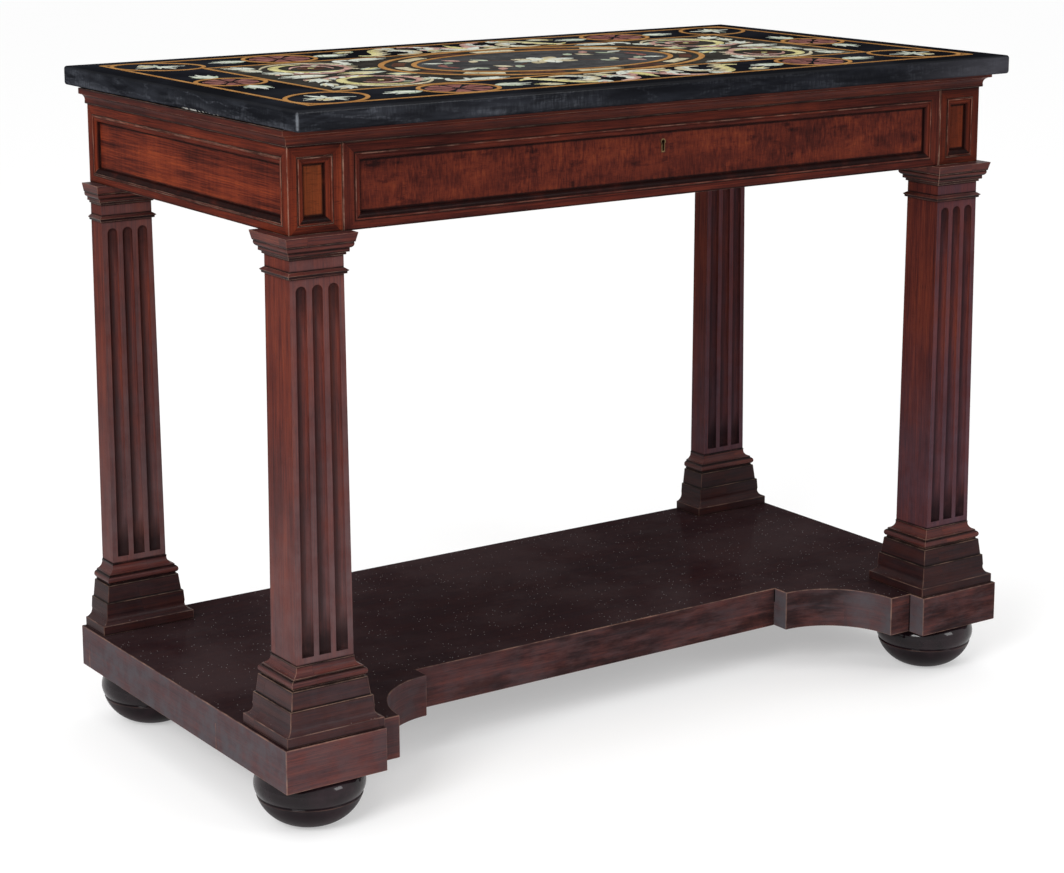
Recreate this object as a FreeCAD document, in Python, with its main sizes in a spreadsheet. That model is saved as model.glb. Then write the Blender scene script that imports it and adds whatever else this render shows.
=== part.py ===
"""Pier table: an inlaid stone slab on a frieze with one long drawer, carried by fluted
columns that stand on a hollow-fronted platform with turned bun feet.

Millimetres, +Z up, +X along the table, the drawer opens towards -Y. The origin lies on the
floor under the middle of the slab.
"""

import FreeCAD, Part
import Sketcher
import math
import os

doc = FreeCAD.newDocument("PierTable")
sheet = doc.addObject("Spreadsheet::Sheet", "Sizes")
nodes = []


class Size:
    """A length together with the formula that ties it to the sheet of sizes."""

    def __init__(self, value, formula):
        self.value = value
        self.formula = formula

    def __add__(self, other):
        return joined(self, "+", other, self.value + number(other))

    def __sub__(self, other):
        return joined(self, "-", other, self.value - number(other))

    def __rsub__(self, other):
        return joined(other, "-", self, number(other) - self.value)

    def __mul__(self, other):
        return joined(self, "*", other, self.value * number(other))

    def __rmul__(self, other):
        return joined(other, "*", self, number(other) * self.value)

    def __truediv__(self, other):
        return joined(self, "/", other, self.value / number(other))

    def __neg__(self):
        return 0 - self


def number(length):
    return length.value if isinstance(length, Size) else float(length)


def formula(length):
    return length.formula if isinstance(length, Size) else repr(float(length))


def joined(left, sign, right, value):
    return Size(value, f"({formula(left)} {sign} {formula(right)})")


def size(alias, value):
    """Adds one driving dimension to the sheet."""
    size.row += 1
    sheet.set(f"A{size.row}", alias)
    sheet.set(f"B{size.row}", str(value))
    sheet.setAlias(f"B{size.row}", alias)
    return Size(float(value), f"Sizes.{alias}")


size.row = 0

# Driving dimensions
total_height = size("total_height", 880)

slab_length = size("slab_length", 1108)
slab_depth = size("slab_depth", 628)
slab_thickness = size("slab_thickness", 25)
slab_edge_round = size("slab_edge_round", 4)

slab_end_overhang = size("slab_end_overhang", 11.5)
slab_depth_overhang = size("slab_depth_overhang", 45.5)
frieze_height = size("frieze_height", 125)
rail_thickness = size("rail_thickness", 22)
bed_height = size("bed_height", 21)
bed_projection = size("bed_projection", 12)
bed_fillet = size("bed_fillet", 3.5)
bed_fillet_height = size("bed_fillet_height", 3)
bed_cove_projection = size("bed_cove_projection", 10)
bed_cove_top = size("bed_cove_top", 13)
post_width = size("post_width", 72)
post_depth = size("post_depth", 60)

panel_sink = size("panel_sink", 6)
panel_moulding_width = size("panel_moulding_width", 9)
panel_moulding_proud = size("panel_moulding_proud", 0.6)
panel_quirk = size("panel_quirk", 2.5)
panel_lip = size("panel_lip", 1.5)
panel_top_margin = size("panel_top_margin", 14)
panel_bottom_margin = size("panel_bottom_margin", 11)
post_panel_margin = size("post_panel_margin", 13)
side_panel_margin = size("side_panel_margin", 14)
drawer_panel_margin = size("drawer_panel_margin", 16)

capital_fascia = size("capital_fascia", 11.5)
capital_ovolo = size("capital_ovolo", 7)
capital_step = size("capital_step", 5)
capital_bead = size("capital_bead", 3.5)
capital_side_projection = size("capital_side_projection", 12)
capital_front_projection = size("capital_front_projection", 15)
neck_height = size("neck_height", 15.5)
astragal_height = size("astragal_height", 7)
astragal_projection = size("astragal_projection", 5)
shaft_foot_width = size("shaft_foot_width", 78)
front_foot_depth = size("front_foot_depth", 63)
back_shaft_depth = size("back_shaft_depth", 32)
back_foot_depth = size("back_foot_depth", 33.5)
flute_radius = size("flute_radius", 7.6)
flute_offset = size("flute_offset", 2.2)
flute_end_gap = size("flute_end_gap", 9)
torus_seat = size("torus_seat", 2)
torus_bead = size("torus_bead", 10)
torus_fillet = size("torus_fillet", 2)
torus_scotia = size("torus_scotia", 12)
plinth_block = size("plinth_block", 23)
plinth_step = size("plinth_step", 15)
plinth_cove = size("plinth_cove", 13)
plinth_fillet = size("plinth_fillet", 13)
base_side_projection = size("base_side_projection", 28)
base_front_projection = size("base_front_projection", 24)
tenon_width = size("tenon_width", 24)
front_tenon_depth = size("front_tenon_depth", 24)
back_tenon_depth = size("back_tenon_depth", 14)
tenon_reach = size("tenon_reach", 16)

platform_end_overhang = size("platform_end_overhang", 35.5)
platform_front_overhang = size("platform_front_overhang", 29.5)
platform_back_overhang = size("platform_back_overhang", 4.5)
platform_thickness = size("platform_thickness", 55)
deck_thickness = size("deck_thickness", 20)
block_front = size("block_front", 139)
block_return = size("block_return", 28)
block_land = size("block_land", 35)
hollow_radius = size("hollow_radius", 104)
centre_return = size("centre_return", 26)

foot_height = size("foot_height", 69)
foot_waist_radius = size("foot_waist_radius", 65.5)
foot_top_radius = size("foot_top_radius", 58.5)
foot_inset = size("foot_inset", 70)
foot_contact_radius = size("foot_contact_radius", 25)
foot_ring_height = size("foot_ring_height", 37)
foot_ring_width = size("foot_ring_width", 3)
foot_ring_depth = size("foot_ring_depth", 1.8)
foot_block = size("foot_block", 110)
spigot_radius = size("spigot_radius", 15)
spigot_length = size("spigot_length", 28)
spigot_clearance = size("spigot_clearance", 0.2)

drawer_gap = size("drawer_gap", 1)
drawer_back_gap = size("drawer_back_gap", 53)
drawer_floor_height = size("drawer_floor_height", 28)
drawer_headroom = size("drawer_headroom", 33)
drawer_side_thickness = size("drawer_side_thickness", 12)
drawer_bottom_thickness = size("drawer_bottom_thickness", 6)
drawer_bottom_lift = size("drawer_bottom_lift", 4)
groove_depth = size("groove_depth", 5)
running_gap = size("running_gap", 0.3)
blade_thickness = size("blade_thickness", 18)
blade_depth = size("blade_depth", 58)
top_rail_depth = size("top_rail_depth", 68)
runner_overlap = size("runner_overlap", 20)
guide_height = size("guide_height", 18)
kicker_thickness = size("kicker_thickness", 18)

lock_width = size("lock_width", 64)
lock_floor_gap = size("lock_floor_gap", 9)
lock_depth = size("lock_depth", 12)
bolt_width = size("bolt_width", 24)
bolt_thickness = size("bolt_thickness", 6)
bolt_length = size("bolt_length", 22)
bolt_travel = size("bolt_travel", 8)
bolt_clearance = size("bolt_clearance", 0.3)
pocket_clearance = size("pocket_clearance", 0.6)
keyhole_radius = size("keyhole_radius", 2.4)
keyhole_slot = size("keyhole_slot", 2.6)
keyhole_height = size("keyhole_height", 12)
keyhole_drop = size("keyhole_drop", 35.5)
escutcheon_wall = size("escutcheon_wall", 1.5)
escutcheon_depth = size("escutcheon_depth", 4)
escutcheon_proud = size("escutcheon_proud", 0.6)

# Levels and faces that several pieces share
slab_bottom = total_height - slab_thickness
frieze_bottom = slab_bottom - frieze_height
bed_bottom = slab_bottom - bed_height
frieze_length = slab_length - 2 * slab_end_overhang
frieze_depth = slab_depth - 2 * slab_depth_overhang
drawer_side_height = frieze_height - drawer_floor_height - drawer_headroom
frieze_end = frieze_length / 2
frieze_front = -(frieze_depth / 2)
frieze_back = frieze_depth / 2
rail_inside = frieze_end - rail_thickness
opening_end = frieze_end - post_width
deck_top = foot_height + platform_thickness
deck_bottom = deck_top - deck_thickness
platform_end = frieze_end + platform_end_overhang
platform_front = frieze_back + platform_front_overhang
platform_back = frieze_back + platform_back_overhang
centre_front = block_return + hollow_radius + centre_return - platform_front
plinth_height = plinth_fillet + plinth_cove + plinth_step + plinth_block
torus_height = torus_seat + torus_bead + torus_fillet + torus_scotia
capital_height = capital_bead + capital_step + capital_ovolo + capital_fascia
shaft_bottom = deck_top + plinth_height + torus_height
shaft_top = frieze_bottom - capital_height
astragal_bottom = shaft_top - neck_height - astragal_height

# The bend of a run that leaves a corner of an outline: a quarter round, a quarter hollow, or a swell
# of a sixth of a circle
ROUND = 1
HOLLOW = -1
SWELL = 2
ARC_SHARES = {ROUND: 0.70712, HOLLOW: 0.70712, SWELL: 1.0}
SPARE = 20.0


def tie(thing, path, length):
    thing.setExpression(path, formula(length))


def move(thing, x, y, z):
    tie(thing, "Placement.Base.x", x)
    tie(thing, "Placement.Base.y", y)
    tie(thing, "Placement.Base.z", z)
    return thing


def turn(thing, axis, degrees):
    turned = FreeCAD.Rotation(FreeCAD.Vector(*axis), degrees)
    thing.Placement = FreeCAD.Placement(FreeCAD.Vector(), turned)
    return thing


def node(thing, name):
    """Names a finished piece, which is then written to a file of that name."""
    thing.Label = name
    nodes.append(thing)
    return thing


def board(name, length, depth, height, x, y, z):
    """A plain board with its low corner at x, y, z."""
    box = doc.addObject("Part::Box", name)
    tie(box, "Length", length)
    tie(box, "Width", depth)
    tie(box, "Height", height)
    return move(box, x, y, z)


def run_geometry(start, end, bend):
    """One run of an outline, with the ends of it that meet the runs before and after."""
    first = FreeCAD.Vector(number(start[0]), number(start[1]), 0)
    last = FreeCAD.Vector(number(end[0]), number(end[1]), 0)
    if not bend:
        return Part.LineSegment(first, last), 1, 2
    chord = last - first
    radius = ARC_SHARES[bend] * chord.Length
    rise = math.sqrt(radius ** 2 - (chord.Length / 2) ** 2)
    left = FreeCAD.Vector(-chord.y, chord.x, 0).normalize()
    centre = (first + last) / 2 + left * (rise if bend > 0 else -rise)
    ends = (first, last) if bend > 0 else (last, first)
    angles = [math.atan2(point.y - centre.y, point.x - centre.x) for point in ends]
    if angles[1] < angles[0]:
        angles[1] += 2 * math.pi
    arc = Part.ArcOfCircle(Part.Circle(centre, FreeCAD.Vector(0, 0, 1), radius), *angles)
    return (arc, 1, 2) if bend > 0 else (arc, 2, 1)


def arc_radius(start, end, bend):
    across = f"({formula(end[0])} - {formula(start[0])})"
    up = f"({formula(end[1])} - {formula(start[1])})"
    chord = math.hypot(number(end[0]) - number(start[0]), number(end[1]) - number(start[1]))
    return Size(ARC_SHARES[bend] * chord, f"{ARC_SHARES[bend]} * sqrt({across}^2 + {up}^2)")


def sketched(body, plane, path, level=None):
    """A closed outline on one of the body's own planes, every corner tied to its sizes."""
    sketch = body.newObject("Sketcher::SketchObject", body.Name + "_outline")
    support = [face for face in body.Origin.OriginFeatures if face.Role == plane][0]
    sketch.AttachmentSupport = [(support, "")]
    sketch.MapMode = "FlatFace"
    if level is not None:
        tie(sketch, "AttachmentOffset.Base.z", level)
    count = len(path)
    bends = [corner[2] if len(corner) > 2 else 0 for corner in path]
    runs = [run_geometry(path[i], path[(i + 1) % count], bends[i]) for i in range(count)]
    sketch.addGeometry([run[0] for run in runs], False)
    for i in range(count):
        after = (i + 1) % count
        sketch.addConstraint(Sketcher.Constraint("Coincident", i, runs[i][2], after, runs[after][1]))
    for i in range(count):
        for kind, axis, length in (("DistanceX", -2, path[i][0]), ("DistanceY", -1, path[i][1])):
            if not isinstance(length, Size) and length == 0:
                sketch.addConstraint(Sketcher.Constraint("PointOnObject", i, runs[i][1], axis))
                continue
            rule = Sketcher.Constraint(kind, -1, 1, i, runs[i][1], number(length))
            tie(sketch, f"Constraints[{sketch.addConstraint(rule)}]", length)
        if bends[i]:
            radius = arc_radius(path[i], path[(i + 1) % count], bends[i])
            rule = Sketcher.Constraint("Radius", i, radius.value)
            tie(sketch, f"Constraints[{sketch.addConstraint(rule)}]", radius)
    return sketch


def extruded(name, plane, path, length):
    """An outline pushed square off its plane: up from XY, towards -Y from XZ, towards +X from YZ."""
    body = doc.addObject("PartDesign::Body", name)
    outline = sketched(body, plane, path)
    pad = body.newObject("PartDesign::Pad", name + "_pad")
    pad.Profile = outline
    tie(pad, "Length", length)
    return body


def turned_piece(name, path):
    """A half section, radius and height, spun round the upright axis."""
    body = doc.addObject("PartDesign::Body", name)
    outline = sketched(body, "XZ_Plane", path)
    spin = body.newObject("PartDesign::Revolution", name + "_spin")
    spin.Profile = outline
    spin.ReferenceAxis = (outline, ["V_Axis"])
    spin.Angle = 360
    return body


def tapered(name, low_outline, low, high_outline, high):
    """A straight-sided shaft drawn from one outline up to another."""
    body = doc.addObject("PartDesign::Body", name)
    foot = sketched(body, "XY_Plane", low_outline, low)
    head = sketched(body, "XY_Plane", high_outline, high)
    loft = body.newObject("PartDesign::AdditiveLoft", name + "_loft")
    loft.Profile = foot
    loft.Sections = [head]
    loft.Ruled = True
    return body


def oblong(x_sides, y_sides):
    return [(x_sides[0], y_sides[0]), (x_sides[1], y_sides[0]),
            (x_sides[1], y_sides[1]), (x_sides[0], y_sides[1])]


def mirrored(path):
    """The outline reflected in x = 0, its corners still in the same turning order."""
    return [(-path[i][0], path[i][1], *path[i - 1][2:]) for i in reversed(range(len(path)))]


def common(name, first, second):
    shared = doc.addObject("Part::Common", name)
    shared.Base = first
    shared.Tool = second
    return shared


def fused(name, *things):
    whole = doc.addObject("Part::MultiFuse", name)
    whole.Shapes = list(things)
    return whole


def cut(name, stock, *tools):
    """The stock with every tool taken out of it."""
    piece = doc.addObject("Part::Cut", name)
    piece.Base = stock
    piece.Tool = tools[0] if len(tools) == 1 else fused(name + "_tools", *tools)
    return piece


def grouped(name, *things):
    group = doc.addObject("Part::Compound", name)
    group.Links = list(things)
    return group


def moulded_sides(profile, reach, low, high, low_moulded=True):
    """Outline of a block whose upright sides carry a profile. The profile lists shares of the
    reach and heights from the bottom up; a side without moulding is left straight."""
    rising = [(high + reach * share, height, *bend) for share, height, *bend in profile]
    if not low_moulded:
        return rising + [(low, profile[-1][1]), (low, profile[0][1])]
    falling = []
    for i in reversed(range(len(profile))):
        share, height = profile[i][:2]
        bend = profile[i - 1][2:] if i > 0 else ()
        falling.append((low - reach * share, height, *bend))
    return rising + falling


def moulded_block(name, profile, reaches, x_sides, y_sides, back_moulded=True):
    """A block of oblong plan with mitred mouldings on its sides."""
    x_reach, y_reach = reaches
    across = extruded(name + "_across", "XZ_Plane", moulded_sides(profile, x_reach, *x_sides),
                      y_sides[1] - y_sides[0] + 2 * y_reach + 2 * SPARE)
    move(across, 0, y_sides[1] + y_reach + SPARE, 0)
    # Turned half round, so that the block's front is the outline's high side
    lengthwise = moulded_sides(profile, y_reach, -y_sides[1], -y_sides[0], back_moulded)
    along = extruded(name + "_along", "YZ_Plane", lengthwise,
                     x_sides[1] - x_sides[0] + 2 * x_reach + 2 * SPARE)
    turn(along, (0, 0, 1), 180)
    move(along, x_sides[1] + x_reach + SPARE, 0, 0)
    return common(name, across, along)


def mitred_strip(name, profile, run, reach, flares):
    """A strip along X with a profile in YZ. A flare of 1 mitres that end from the run inwards,
    -1 from the run outwards, and 0 leaves it square."""
    stock = extruded(name + "_stock", "YZ_Plane", profile, run + 2 * reach + 2 * SPARE)
    move(stock, -(reach + SPARE), 0, 0)
    near = flares[0] * reach if flares[0] else 0
    far = run - flares[1] * reach if flares[1] else run
    crest = max(profile, key=lambda corner: number(corner[1]))[1]
    mitre = extruded(name + "_mitre", "XY_Plane", [(0, 0), (run, 0), (far, reach), (near, reach)],
                     crest + SPARE)
    return common(name, stock, mitre)


def panel_moulding(name, width, height, facing, x, y, z):
    """Four mitred strips round a sunk panel, centred on its floor. Facing gives the directions
    of the frame's width, its height and its face."""
    crest = panel_sink + panel_moulding_proud
    profile = [(0, 0), (panel_moulding_width, 0), (panel_moulding_width, panel_lip, ROUND),
               (panel_quirk, panel_sink - panel_moulding_proud), (panel_quirk, crest), (0, crest)]
    corners = [(-width / 2, -height / 2, width), (width / 2, -height / 2, height),
               (width / 2, height / 2, width), (-width / 2, height / 2, height)]
    strips = []
    for i, (strip_x, strip_y, run) in enumerate(corners):
        strip = mitred_strip(f"{name}_strip_{i + 1}", profile, run, panel_moulding_width, (1, 1))
        strips.append(move(turn(strip, (0, 0, 1), 90 * i), strip_x, strip_y, 0))
    frame = grouped(name + "_frame", *strips)
    turned = FreeCAD.Rotation(*[FreeCAD.Vector(*way) for way in facing], "XYZ")
    frame.Placement = FreeCAD.Placement(FreeCAD.Vector(), turned)
    return node(move(frame, x, y, z), name)


SIDES = (("left", -1), ("right", 1))
FACING_FRONT = ((1, 0, 0), (0, 0, 1), (0, -1, 0))
FACING_SIDE = {"left": ((0, -1, 0), (0, 0, 1), (-1, 0, 0)), "right": ((0, 1, 0), (0, 0, 1), (1, 0, 0))}

# The stone slab, every edge eased
slab = extruded("slab", "XY_Plane", oblong((-(slab_length / 2), slab_length / 2),
                                           (-(slab_depth / 2), slab_depth / 2)), slab_thickness)
slab_easing = slab.newObject("PartDesign::Fillet", "slab_easing")
slab_easing.Base = (doc.getObject("slab_pad"), [""])
slab_easing.UseAllEdges = True
tie(slab_easing, "Radius", slab_edge_round)
slab.Tip = slab_easing
node(move(slab, 0, 0, slab_bottom), "marble_slab")

# The bed moulding under the slab, mitred at the front corners and square at the back
bed_profile = [(0, 0), (bed_fillet, 0), (bed_fillet, bed_fillet_height, HOLLOW),
               (bed_cove_projection, bed_cove_top), (bed_projection, bed_cove_top),
               (bed_projection, bed_height), (0, bed_height)]
for side, run, flares, quarter_turn, x, y in (
        ("front", frieze_length, (-1, -1), 180, frieze_end, frieze_front),
        ("left", frieze_depth, (-1, 0), 90, -frieze_end, frieze_front),
        ("right", frieze_depth, (0, -1), -90, frieze_end, frieze_back)):
    strip = mitred_strip(f"bed_{side}", bed_profile, run, bed_projection, flares)
    turn(strip, (0, 0, 1), quarter_turn)
    node(move(strip, x, y, bed_bottom), f"bed_moulding_{side}")

# The four columns. Each shaft has a core that runs on as a tenon through its base and capital.
plinth_profile = [(1.0, deck_top), (1.0, deck_top + plinth_fillet),
                  (0.95, deck_top + plinth_fillet, HOLLOW), (0.68, deck_top + plinth_fillet + plinth_cove),
                  (0.64, deck_top + plinth_height - plinth_block),
                  (0.56, deck_top + plinth_height - plinth_block), (0.46, deck_top + plinth_height)]
torus_bottom = deck_top + plinth_height
bead_bottom = torus_bottom + torus_seat
bead_top = bead_bottom + torus_bead
torus_profile = [(0.36, torus_bottom), (0.36, bead_bottom), (0.30, bead_bottom, ROUND),
                 (0.47, bead_bottom + torus_bead / 2, ROUND), (0.30, bead_top), (0.33, bead_top),
                 (0.33, bead_top + torus_fillet), (0.30, bead_top + torus_fillet, HOLLOW),
                 (0.04, shaft_bottom)]
capital_profile = [(0.19, shaft_top), (0.19, shaft_top + capital_bead), (0.42, shaft_top + capital_bead),
                   (0.42, shaft_top + capital_bead + capital_step),
                   (0.50, shaft_top + capital_bead + capital_step, ROUND),
                   (0.70, frieze_bottom - capital_fascia), (0.80, frieze_bottom - capital_fascia),
                   (1.0, frieze_bottom)]
astragal_profile = [(0.62, astragal_bottom), (0.62, astragal_bottom + astragal_height * 0.3),
                    (1.0, astragal_bottom + astragal_height * 0.58),
                    (0.12, astragal_bottom + astragal_height)]
FLUTE_SHARES = (-0.3, 0, 0.3)
base_reaches = (base_side_projection, base_front_projection)
side_spread = (shaft_foot_width - post_width) / 2
front_spread = (front_foot_depth - post_depth) / 2
back_spread = back_foot_depth - back_shaft_depth
flute_bottom = shaft_bottom + flute_end_gap
flute_length = astragal_bottom - flute_end_gap - flute_radius - flute_bottom
cores = {}


def flute_cutter(name, share, middle, front):
    """A round-nosed cutter that widens with the shaft and leans with its sides."""
    foot_flute_radius = flute_radius * shaft_foot_width / post_width
    cutter = turned_piece(name, [(0, 0), (foot_flute_radius, 0), (flute_radius, flute_length, ROUND),
                                 (0, flute_length + flute_radius)])
    if share:
        # The turn sets the axis of the lean, and the formula its angle
        turn(cutter, (0, -share, 0), 1)
        lean = (shaft_foot_width - post_width) * abs(share) / flute_length
        cutter.setExpression("Placement.Rotation.Angle", f"atan({formula(lean)})")
    return move(cutter, middle + shaft_foot_width * share, front, flute_bottom)


for row in ("front", "back"):
    for side, hand in SIDES:
        place = f"{row}_{side}"
        x_top = (opening_end, frieze_end) if hand > 0 else (-frieze_end, -opening_end)
        x_foot = (x_top[0] - side_spread, x_top[1] + side_spread)
        if row == "front":
            y_top = (frieze_front, frieze_front + post_depth)
            y_foot = (y_top[0] - front_spread, y_top[1] + front_spread)
            tenon_depth = front_tenon_depth
        else:
            y_top = (frieze_back - back_shaft_depth, frieze_back)
            y_foot = (y_top[0] - back_spread, frieze_back)
            tenon_depth = back_tenon_depth
        middle_x = (x_top[0] + x_top[1]) / 2
        middle_y = (y_top[0] + y_top[1]) / 2
        core = board(f"core_{place}", tenon_width, tenon_depth, frieze_bottom - deck_top + 2 * tenon_reach,
                     middle_x - tenon_width / 2, middle_y - tenon_depth / 2, deck_top - tenon_reach)
        cores[place] = core
        taper = tapered(f"taper_{place}", oblong(x_foot, y_foot), shaft_bottom,
                        oblong(x_top, y_top), shaft_top)
        flute_front = (y_top[0] + y_foot[0]) / 2 - flute_offset
        flutes = [flute_cutter(f"flute_{place}_{i + 1}", share, middle_x, flute_front)
                  for i, share in enumerate(FLUTE_SHARES)]
        fluted = cut(f"fluted_{place}", taper, *flutes)
        node(fused(f"tenoned_{place}", fluted, core), f"shaft_{place}")
        all_round = row == "front"
        ring = moulded_block(f"ring_{place}", astragal_profile, (astragal_projection, astragal_projection),
                             x_top, y_top, all_round)
        node(cut(f"bored_ring_{place}", ring, taper), f"astragal_{place}")
        head = moulded_block(f"head_{place}", capital_profile,
                             (capital_side_projection, capital_front_projection), x_top, y_top, all_round)
        node(cut(f"mortised_head_{place}", head, core), f"capital_{place}")
        swell = moulded_block(f"swell_{place}", torus_profile, base_reaches, x_foot, y_foot, all_round)
        node(cut(f"mortised_swell_{place}", swell, core), f"base_torus_{place}")
        steps = moulded_block(f"steps_{place}", plinth_profile, base_reaches, x_foot, y_foot, all_round)
        node(cut(f"mortised_steps_{place}", steps, core), f"base_plinth_{place}")

# The frieze's corner posts, rebated for the side rails and mortised for the columns' tenons
panel_bottom = frieze_bottom + panel_bottom_margin
panel_height = bed_bottom - panel_top_margin - panel_bottom
panel_middle = panel_bottom + panel_height / 2
panel_floor = frieze_front + panel_sink
post_panel_width = post_width - 2 * post_panel_margin
for row, face, inward in (("front", frieze_front, 1), ("back", frieze_back, -1)):
    for side, hand in SIDES:
        post_inside = face + post_depth * inward
        post_outline = [(frieze_end * hand, face), (opening_end * hand, face),
                        (opening_end * hand, post_inside), (rail_inside * hand, post_inside),
                        (rail_inside * hand, face + rail_thickness * inward)]
        stock = extruded(f"stock_{row}_post_{side}", "XY_Plane", post_outline, frieze_height)
        move(stock, 0, 0, frieze_bottom)
        tools = [cores[f"{row}_{side}"]]
        if row == "front":
            post_middle = (frieze_end - post_width / 2) * hand
            tools.append(board(f"post_recess_{side}", post_panel_width, panel_sink, panel_height,
                               post_middle - post_panel_width / 2, frieze_front, panel_bottom))
            panel_moulding(f"post_panel_moulding_{side}", post_panel_width, panel_height, FACING_FRONT,
                           post_middle, panel_floor, panel_middle)
        node(cut(f"mortised_{row}_post_{side}", stock, *tools), f"{row}_post_{side}")

# The frieze's side rails, mitred into the posts, each with one long sunk panel
side_panel_length = frieze_depth - 2 * side_panel_margin
for side, hand in SIDES:
    stock = extruded(f"stock_side_rail_{side}", "XY_Plane",
                     [(frieze_end * hand, frieze_front), (rail_inside * hand, frieze_front + rail_thickness),
                      (rail_inside * hand, frieze_back - rail_thickness), (frieze_end * hand, frieze_back)],
                     frieze_height)
    move(stock, 0, 0, frieze_bottom)
    recess = board(f"side_recess_{side}", panel_sink, side_panel_length, panel_height,
                   frieze_end - panel_sink if hand > 0 else -frieze_end,
                   -(side_panel_length / 2), panel_bottom)
    node(cut(f"sunk_side_rail_{side}", stock, recess), f"side_rail_{side}")
    panel_moulding(f"side_panel_moulding_{side}", side_panel_length, panel_height, FACING_SIDE[side],
                   (frieze_end - panel_sink) * hand, 0, panel_middle)

# The rails between the posts
node(board("rail_back", 2 * opening_end, rail_thickness, frieze_height,
           -opening_end, frieze_back - rail_thickness, frieze_bottom), "back_rail")
bolt_front = frieze_front + rail_thickness + (lock_depth - bolt_thickness) / 2
bolt_pocket_width = bolt_width + 2 * pocket_clearance
bolt_pocket_depth = bolt_thickness + 2 * pocket_clearance
top_rail = board("rail_top", 2 * opening_end, top_rail_depth, bed_height,
                 -opening_end, frieze_front, bed_bottom)
bolt_pocket = board("bolt_pocket", bolt_pocket_width, bolt_pocket_depth, bolt_travel + 2 * drawer_gap,
                    -(bolt_pocket_width / 2), bolt_front - pocket_clearance, bed_bottom)
node(cut("mortised_top_rail", top_rail, bolt_pocket), "front_top_rail")
drawer_floor = frieze_bottom + drawer_floor_height
drawer_back_face = frieze_front + rail_thickness
runner_top = drawer_floor - running_gap
blade_front = drawer_back_face + drawer_gap
node(board("blade", 2 * opening_end, blade_depth, blade_thickness,
           -opening_end, blade_front, runner_top - blade_thickness), "drawer_blade")

# The runners that carry the drawer, each with its guide, and the kickers that keep it level
runner_back = frieze_back - post_depth
runner_inside = opening_end - runner_overlap
runner_bottom = runner_top - blade_thickness
guide_top = runner_top + guide_height
runner_outline = [(runner_inside, runner_bottom), (rail_inside, runner_bottom), (rail_inside, guide_top),
                  (opening_end, guide_top), (opening_end, runner_top), (runner_inside, runner_top)]
runner_length = runner_back - blade_front - blade_depth
runners = [extruded("runner_left", "XZ_Plane", mirrored(runner_outline), runner_length),
           extruded("runner_right", "XZ_Plane", runner_outline, runner_length)]
for runner in runners:
    move(runner, 0, runner_back, 0)
node(grouped("runner_pair", *runners), "drawer_runners")
kicker_width = rail_inside - runner_inside
kicker_front = frieze_front + top_rail_depth
kicker_bottom = drawer_floor + drawer_side_height + 2 * drawer_gap
kickers = [board(f"kicker_{side}", kicker_width, runner_back - kicker_front, kicker_thickness,
                 runner_inside if hand > 0 else -rail_inside, kicker_front, kicker_bottom)
           for side, hand in SIDES]
node(grouped("kicker_pair", *kickers), "drawer_kickers")

# The drawer, its bottom let into grooves in the front and the sides
drawer_end = opening_end - drawer_gap
drawer_inside = drawer_end - drawer_side_thickness
drawer_back_end = frieze_back - rail_thickness - drawer_back_gap
front_top = bed_bottom - drawer_gap
bottom_level = drawer_floor + drawer_bottom_lift
groove_reach = drawer_inside + groove_depth
drawer_panel_length = 2 * (drawer_end - drawer_panel_margin)
keyhole_level = bed_bottom - keyhole_drop


def keyhole(name, radius, slot, drop, front, depth):
    """A round eye over a straight slot, run through along Y."""
    eye = doc.addObject("Part::Cylinder", name + "_eye")
    tie(eye, "Radius", radius)
    tie(eye, "Height", depth)
    turn(eye, (1, 0, 0), -90)
    move(eye, 0, front, keyhole_level)
    straight = board(name + "_slot", slot, depth, drop, -(slot / 2), front, keyhole_level - drop)
    return fused(name, eye, straight)


seat_front = panel_floor - escutcheon_proud
seat_depth = escutcheon_depth + escutcheon_proud
seat_shape = (keyhole_radius + escutcheon_wall, keyhole_slot + 2 * escutcheon_wall,
              keyhole_height + escutcheon_wall, seat_front, seat_depth)
key_shape = (keyhole_radius, keyhole_slot, keyhole_height, seat_front, drawer_back_face - seat_front)
front_board = board("front_board", 2 * drawer_end, rail_thickness, front_top - frieze_bottom,
                    -drawer_end, frieze_front, frieze_bottom)
front_recess = board("front_recess", drawer_panel_length, panel_sink, panel_height,
                     -(drawer_panel_length / 2), frieze_front, panel_bottom)
front_groove = board("front_groove", 2 * groove_reach, groove_depth, drawer_bottom_thickness,
                     -groove_reach, drawer_back_face - groove_depth, bottom_level)
node(cut("sunk_front", front_board, front_recess, front_groove, keyhole("seat_hole", *seat_shape),
         keyhole("key_way", *key_shape)), "drawer_front")
panel_moulding("drawer_panel_moulding", drawer_panel_length, panel_height, FACING_FRONT,
               0, panel_floor, panel_middle)
node(cut("liner", keyhole("liner_stock", *seat_shape), keyhole("liner_hole", *key_shape)),
     "keyhole_escutcheon")
for side, hand in SIDES:
    side_board = board(f"side_board_{side}", drawer_side_thickness, drawer_back_end - drawer_back_face,
                       drawer_side_height, drawer_inside if hand > 0 else -drawer_end,
                       drawer_back_face, drawer_floor)
    side_groove = board(f"side_groove_{side}", groove_depth, drawer_back_end - drawer_back_face,
                        drawer_bottom_thickness, drawer_inside if hand > 0 else -groove_reach,
                        drawer_back_face, bottom_level)
    node(cut(f"grooved_side_{side}", side_board, side_groove), f"drawer_side_{side}")
node(board("bottom_board", 2 * groove_reach, drawer_back_end - drawer_back_face + groove_depth,
           drawer_bottom_thickness, -groove_reach, drawer_back_face - groove_depth, bottom_level),
     "drawer_bottom")
back_board_bottom = bottom_level + drawer_bottom_thickness
node(board("back_board", 2 * drawer_inside, drawer_side_thickness,
           drawer_floor + drawer_side_height - back_board_bottom,
           -drawer_inside, drawer_back_end - drawer_side_thickness, back_board_bottom), "drawer_back")

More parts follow.
